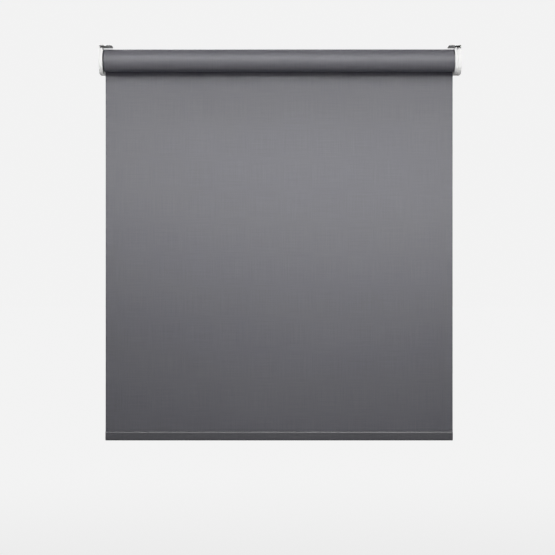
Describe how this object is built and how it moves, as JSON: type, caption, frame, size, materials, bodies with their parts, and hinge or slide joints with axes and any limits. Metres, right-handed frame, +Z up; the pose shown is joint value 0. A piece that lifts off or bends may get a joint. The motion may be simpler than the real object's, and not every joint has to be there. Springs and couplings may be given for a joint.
{
  "type": "roller blind",
  "caption": "Roller blind with dark blackout cloth, round white bracket covers, a battery motor in the tube and a weighted hem, for a window recess.",
  "frame": {"origin": "centre of the four top-fixing holes, on the brackets' top faces: halfway between the brackets, directly above the tube axis", "axes": "+X to the right seen from the room and along the tube, +Y from the room towards the window, +Z up"},
  "size_m": [0.8, 0.0635, 0.877],
  "materials": {
    "bracket_paint": "satin",
    "white_plastic": "satin",
    "grey_plastic": "satin",
    "black_plastic": "satin",
    "acetal": "satin",
    "cloth": "matte",
    "tube_aluminium": "satin",
    "bar_aluminium": "satin",
    "bright_steel": "satin",
    "motor_steel": "satin",
    "rubber_white": "matte",
    "rubber_black": "matte",
    "board_green": "gloss",
    "cell_wrap": "gloss",
    "clear_plastic": "gloss",
    "tape": "matte"
  },
  "bodies": {
    "brackets": {"bracket_left": "bracket_paint", "bracket_right": "bracket_paint", "bracket_cover_left": "white_plastic", "bracket_cover_right": "white_plastic", "idle_bush": "acetal", "bush_rivets": "bright_steel", "motor_adapter": "acetal", "adapter_screws": "bright_steel", "motor_clip": "bright_steel", "motor_head": "white_plastic", "head_cover": "grey_plastic", "head_screws": "bright_steel", "button_board": "board_green", "charge_port": "bright_steel", "status_light": "clear_plastic", "motor_housing": "motor_steel", "housing_screws": "bright_steel", "circuit_board": "board_green", "battery_cells": "cell_wrap", "battery_spacers": "black_plastic", "dc_motor": "bright_steel", "motor_dampers": "rubber_black", "motor_brake": "motor_steel", "gearbox": "black_plastic"},
    "roller": {"roller_tube": "tube_aluminium", "fabric_tape": "tape", "fabric_roll": "cloth", "idler_plug": "black_plastic", "idler_spring": "bright_steel", "spring_seat": "acetal", "crown_ring": "black_plastic", "drive_wheel": "black_plastic", "output_shaft": "bright_steel", "shaft_clip": "bright_steel"},
    "hem": {"fabric_hanging": "cloth", "hem_pocket": "cloth", "bottom_bar": "bar_aluminium", "hem_cap_left": "black_plastic", "hem_cap_right": "black_plastic"},
    "idler_pin": {"idler_pin": "bright_steel"},
    "button": {"program_button": "grey_plastic"},
    "port_cover": {"charge_port_cover": "rubber_white"}
  },
  "joints": [
    {"name": "hem_travel", "type": "slide", "parent": "brackets", "child": "hem", "axis": [0, 0, 1], "range_m": [-0.19478, 0.77911], "deforming": ["fabric_hanging"]},
    {"name": "tube_spin", "type": "hinge", "parent": "brackets", "child": "roller", "pos_m": [0, 0, -0.033], "axis": [1, 0, 0], "range_deg": [-451, 1801]},
    {"name": "idler_pin_press", "type": "slide", "parent": "roller", "child": "idler_pin", "axis": [1, 0, 0], "range_m": [0, 0.0065], "stiffness_N_per_m": 800, "springref_m": -0.004, "deforming": ["idler_spring"]},
    {"name": "program_button_press", "type": "slide", "parent": "brackets", "child": "button", "axis": [0, 0.4384, 0.8988], "range_m": [0, 0.0006], "stiffness_N_per_m": 1500, "springref_m": -0.0005},
    {"name": "port_cover_hinge", "type": "hinge", "parent": "brackets", "child": "port_cover", "pos_m": [0.3885, 0.01172, -0.06007], "axis": [1, 0, 0], "range_deg": [0, 105], "stiffness_Nm_per_rad": 0.002, "springref_deg": -11.46}
  ],
  "couplings": [
    {"joint": "tube_spin", "follows": "hem_travel", "rad_per_m": 40.323}
  ]
}
